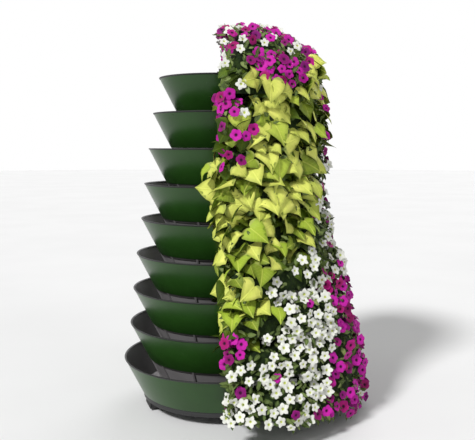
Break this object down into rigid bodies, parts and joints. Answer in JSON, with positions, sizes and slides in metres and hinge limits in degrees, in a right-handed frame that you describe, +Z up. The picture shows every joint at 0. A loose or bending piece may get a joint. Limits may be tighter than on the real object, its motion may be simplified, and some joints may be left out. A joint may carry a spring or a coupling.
{
  "type": "vertical planter tower",
  "caption": "Tapering tower of stacked flared planter tiers on ribbed collars round a watering mast, one half planted with trailing leaves and flowers, the other half bare.",
  "frame": {"origin": "on the tower's axis at ground level, under the middle foot pad", "axes": "+Z up along the mast; the front faces -Y; the planted half lies on +X and the bare half on -X"},
  "size_m": [1.2736, 1.5284, 1.9979],
  "materials": {
    "green_plastic": "semi-gloss dark green outside, dark grey inside",
    "grey_plastic": "satin dark grey",
    "black_steel": "black powder coat",
    "black_rubber": "matte black",
    "galvanised_steel": "dull galvanised",
    "potting_mix": "crumbly moist bark and peat mix",
    "lime_leaves": "satin lime-green leaves",
    "green_leaves": "satin mid-green leaves",
    "white_flowers": "soft white petals with a yellow-green throat",
    "magenta_flowers": "velvety magenta petals with a dark throat"
  },
  "bodies": {
    "base": {"base_frame": "black_steel", "arm_end_cap_1": "black_rubber", "arm_end_cap_2": "black_rubber", "arm_end_cap_3": "black_rubber", "arm_end_cap_4": "black_rubber", "foot_pad_1": "black_rubber", "foot_pad_2": "black_rubber", "foot_pad_3": "black_rubber", "foot_pad_4": "black_rubber", "foot_pad_middle": "black_rubber", "drip_tray": "grey_plastic", "watering_mast": "galvanised_steel", "tier_shell_1": "green_plastic", "tier_floor_1": "grey_plastic", "potting_mix_1": "potting_mix", "planting_1": "magenta_flowers", "support_collar_1": "grey_plastic"},
    "tier_2": {"tier_shell_2": "green_plastic", "tier_floor_2": "grey_plastic", "potting_mix_2": "potting_mix", "planting_2": "white_flowers", "support_collar_2": "grey_plastic"},
    "tier_3": {"tier_shell_3": "green_plastic", "tier_floor_3": "grey_plastic", "potting_mix_3": "potting_mix", "planting_3": "white_flowers", "support_collar_3": "grey_plastic"},
    "tier_4": {"tier_shell_4": "green_plastic", "tier_floor_4": "grey_plastic", "potting_mix_4": "potting_mix", "planting_4": "lime_leaves", "support_collar_4": "grey_plastic"},
    "tier_5": {"tier_shell_5": "green_plastic", "tier_floor_5": "grey_plastic", "potting_mix_5": "potting_mix", "planting_5": "lime_leaves", "support_collar_5": "grey_plastic"},
    "tier_6": {"tier_shell_6": "green_plastic", "tier_floor_6": "grey_plastic", "potting_mix_6": "potting_mix", "planting_6": "lime_leaves", "support_collar_6": "grey_plastic"},
    "tier_7": {"tier_shell_7": "green_plastic", "tier_floor_7": "grey_plastic", "potting_mix_7": "potting_mix", "planting_7": "lime_leaves", "support_collar_7": "grey_plastic"},
    "tier_8": {"tier_shell_8": "green_plastic", "tier_floor_8": "grey_plastic", "potting_mix_8": "potting_mix", "planting_8": "green_leaves", "support_collar_8": "grey_plastic"},
    "tier_9": {"tier_shell_9": "green_plastic", "tier_floor_9": "grey_plastic", "potting_mix_9": "potting_mix", "planting_9": "magenta_flowers"},
    "watering_cap": {"watering_cap": "grey_plastic"},
    "drain_plug": {"drain_plug": "black_rubber"}
  },
  "joints": [
    {"name": "tier_2_lift", "type": "slide", "parent": "base", "child": "tier_2", "axis": [0, 0, 1], "range_m": [0, 0.2]},
    {"name": "tier_3_lift", "type": "slide", "parent": "tier_2", "child": "tier_3", "axis": [0, 0, 1], "range_m": [0, 0.2]},
    {"name": "tier_4_lift", "type": "slide", "parent": "tier_3", "child": "tier_4", "axis": [0, 0, 1], "range_m": [0, 0.2]},
    {"name": "tier_5_lift", "type": "slide", "parent": "tier_4", "child": "tier_5", "axis": [0, 0, 1], "range_m": [0, 0.2]},
    {"name": "tier_6_lift", "type": "slide", "parent": "tier_5", "child": "tier_6", "axis": [0, 0, 1], "range_m": [0, 0.2]},
    {"name": "tier_7_lift", "type": "slide", "parent": "tier_6", "child": "tier_7", "axis": [0, 0, 1], "range_m": [0, 0.2]},
    {"name": "tier_8_lift", "type": "slide", "parent": "tier_7", "child": "tier_8", "axis": [0, 0, 1], "range_m": [0, 0.2]},
    {"name": "tier_9_lift", "type": "slide", "parent": "tier_8", "child": "tier_9", "axis": [0, 0, 1], "range_m": [0, 0.2]},
    {"name": "watering_cap_lift", "type": "slide", "parent": "base", "child": "watering_cap", "axis": [0, 0, 1], "range_m": [0, 0.04]},
    {"name": "drain_plug_pull", "type": "slide", "parent": "base", "child": "drain_plug", "axis": [-0.9063, 0.4226, 0], "range_m": [0, 0.03]}
  ]
}
